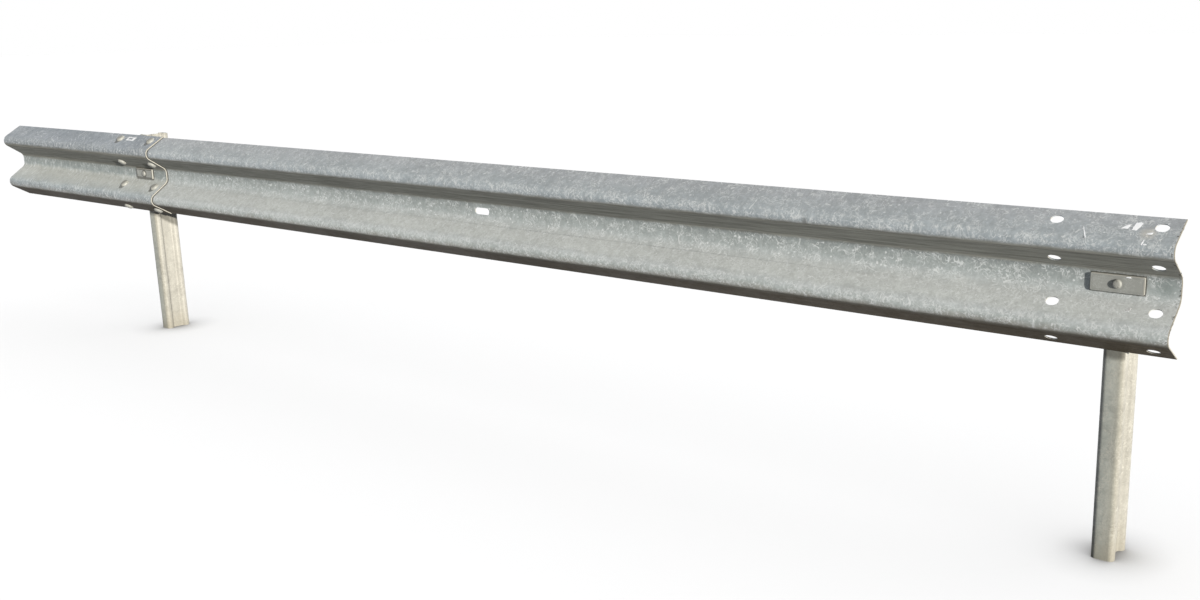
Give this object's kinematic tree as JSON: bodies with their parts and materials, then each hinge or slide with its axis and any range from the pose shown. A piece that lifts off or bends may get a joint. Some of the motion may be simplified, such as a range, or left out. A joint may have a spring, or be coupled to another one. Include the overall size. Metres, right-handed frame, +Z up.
{
  "type": "highway guardrail section",
  "caption": "W-section steel road barrier beam on folded sigma posts, lapped and bolted to the cut end of its neighbour, with an open row of splice holes at its free end.",
  "frame": {"origin": "foot of the right post at ground level, on its front flange's wall at the middle of the flange's width", "axes": "+X along the beam towards its free end, +Y away from the traffic side, +Z up"},
  "size_m": [5.218, 0.1843, 0.825],
  "materials": {
    "long_beam_zinc": "galvanised, weathered, with a faint spangle",
    "beam_end_zinc": "galvanised, weathered, smoother",
    "post_zinc": "galvanised, dull, a little dirt at the foot",
    "plate_zinc": "galvanised, dull",
    "fastener_zinc": "galvanised, dull"
  },
  "bodies": {
    "root": {"long_beam": "long_beam_zinc", "left_beam_end": "beam_end_zinc", "right_post": "post_zinc", "left_post": "post_zinc", "left_cover_plate": "plate_zinc", "left_post_bolt": "fastener_zinc", "left_post_washer": "fastener_zinc", "left_post_nut": "fastener_zinc", "right_cover_plate": "plate_zinc", "right_post_bolt": "fastener_zinc", "right_post_washer": "fastener_zinc", "right_post_nut": "fastener_zinc", "splice_bolt_row_1_left": "fastener_zinc", "splice_washer_row_1_left": "fastener_zinc", "splice_nut_row_1_left": "fastener_zinc", "splice_bolt_row_1_right": "fastener_zinc", "splice_washer_row_1_right": "fastener_zinc", "splice_nut_row_1_right": "fastener_zinc", "splice_bolt_row_2_left": "fastener_zinc", "splice_washer_row_2_left": "fastener_zinc", "splice_nut_row_2_left": "fastener_zinc", "splice_bolt_row_2_right": "fastener_zinc", "splice_washer_row_2_right": "fastener_zinc", "splice_nut_row_2_right": "fastener_zinc", "splice_bolt_row_3_left": "fastener_zinc", "splice_washer_row_3_left": "fastener_zinc", "splice_nut_row_3_left": "fastener_zinc", "splice_bolt_row_3_right": "fastener_zinc", "splice_washer_row_3_right": "fastener_zinc", "splice_nut_row_3_right": "fastener_zinc", "splice_bolt_row_4_left": "fastener_zinc", "splice_washer_row_4_left": "fastener_zinc", "splice_nut_row_4_left": "fastener_zinc", "splice_bolt_row_4_right": "fastener_zinc", "splice_washer_row_4_right": "fastener_zinc", "splice_nut_row_4_right": "fastener_zinc"}
  },
  "joints": []
}
